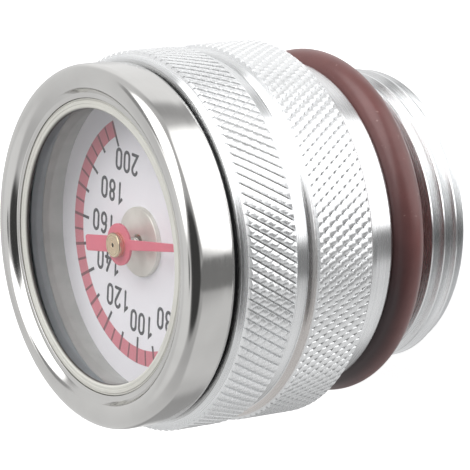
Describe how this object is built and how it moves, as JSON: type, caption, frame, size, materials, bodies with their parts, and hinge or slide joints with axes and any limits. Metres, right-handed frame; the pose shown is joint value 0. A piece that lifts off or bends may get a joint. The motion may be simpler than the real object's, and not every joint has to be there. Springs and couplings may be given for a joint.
{
  "type": "oil filler cap thermometer",
  "caption": "Screw-in oil filler cap with a knurled grip, a seal ring and a round bimetal dial thermometer on top; the gauge turns in the cap.",
  "frame": {"origin": "centre of the threaded skirt's rim, which the part stands on", "axes": "+Z along the cap's axis, from the rim to the dial; +Y towards the middle of the dial's scale"},
  "size_m": [0.038, 0.038, 0.0354],
  "materials": {
    "turned_aluminium": "knurled and turned, bright",
    "holder_aluminium": "knurled and turned, bright",
    "nut_aluminium": "turned",
    "brown_rubber": "satin",
    "washer_bronze": "plain",
    "black_rubber": "satin",
    "case_steel": "drawn",
    "dial_white": "matt white",
    "spacer_grey": "satin grey",
    "seat_rubber": "satin",
    "lens_glass": "clear",
    "gasket_beige": "satin",
    "bezel_steel": "polished stainless steel",
    "shank_brass": "nickel plated",
    "seal_rubber": "satin",
    "tube_steel": "drawn",
    "plug_brass": "turned",
    "bimetal": "rolled strip",
    "lower_bush_brass": "turned",
    "upper_bush_brass": "turned",
    "nut_nickel": "nickel plated",
    "spindle_steel": "ground",
    "collar_brass": "turned",
    "pointer_red": "satin red",
    "hub_brass": "turned"
  },
  "bodies": {
    "cap": {"cap_body": "turned_aluminium", "seal_ring": "brown_rubber", "ring_nut": "nut_aluminium"},
    "gauge": {"gauge_holder": "holder_aluminium", "friction_washer": "washer_bronze", "rubber_sleeve": "black_rubber", "gauge_case": "case_steel", "dial_plate": "dial_white", "spacer_ring": "spacer_grey", "lens_seat": "seat_rubber", "lens": "lens_glass", "lens_gasket": "gasket_beige", "bezel_ring": "bezel_steel", "stem_shank": "shank_brass", "stem_seal": "seal_rubber", "sensor_tube": "tube_steel", "end_plug": "plug_brass", "bimetal_helix": "bimetal", "lower_bush": "lower_bush_brass", "upper_bush": "upper_bush_brass", "dial_nut": "nut_nickel"},
    "needle": {"spindle": "spindle_steel", "helix_collar": "collar_brass", "pointer": "pointer_red", "pointer_hub": "hub_brass"}
  },
  "joints": [
    {"name": "gauge_turn", "type": "hinge", "parent": "cap", "child": "gauge", "pos_m": [0, 0, 0], "axis": [0, 0, 1], "continuous": true},
    {"name": "needle_turn", "type": "hinge", "parent": "gauge", "child": "needle", "pos_m": [0, 0, 0.03], "axis": [0, 0, -1], "range_deg": [-48, 252], "stiffness_Nm_per_rad": 0.0001}
  ]
}
